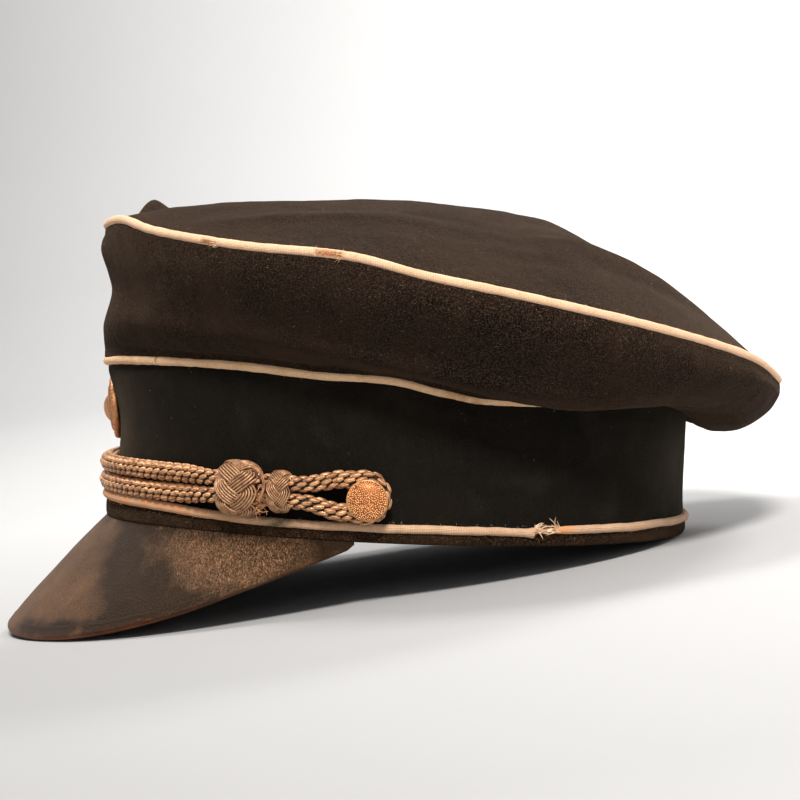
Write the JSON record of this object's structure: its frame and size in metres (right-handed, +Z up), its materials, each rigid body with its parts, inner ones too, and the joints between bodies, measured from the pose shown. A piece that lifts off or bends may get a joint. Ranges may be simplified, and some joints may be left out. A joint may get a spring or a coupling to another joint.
{
  "type": "crusher cap",
  "caption": "Peaked cap with a soft crushed crown sagging over a stiff band, cream piping, a curved leather peak and a braided chin cord held by pebbled buttons.",
  "frame": {"origin": "centre of the bounding box, at its base, on the surface that the cap rests on", "axes": "+Z up, -Y the way the peak points, +X the wearer's left; the cap rests on the peak's front edge and the back of the band"},
  "size_m": [0.2286, 0.2826, 0.1438],
  "materials": {
    "crown_wool": "black-brown wool cloth, napped, dusty on top",
    "piping_wool": "cream wool cloth, worn and stained",
    "band_cloth": "black band cloth, fine nap",
    "peak_leather": "dark brown-black grained leather, semi-gloss, worn at the edge",
    "bullion": "tarnished bullion braid, dull metallic",
    "button_metal": "pebbled, aged",
    "cockade_metal": "ribbed, aged"
  },
  "bodies": {
    "root": {"crown_top": "crown_wool", "crown_side_left_front": "crown_wool", "crown_side_left_back": "crown_wool", "crown_side_right_back": "crown_wool", "crown_side_right_front": "crown_wool", "crown_piping": "piping_wool", "band_top_piping": "piping_wool", "band": "band_cloth", "band_bottom_piping": "piping_wool", "bottom_welt": "band_cloth", "peak": "peak_leather", "chin_cord": "bullion", "large_knot_left": "bullion", "small_knot_left": "bullion", "large_knot_right": "bullion", "small_knot_right": "bullion", "button_left": "button_metal", "button_right": "button_metal", "front_cockade": "cockade_metal"}
  },
  "joints": []
}
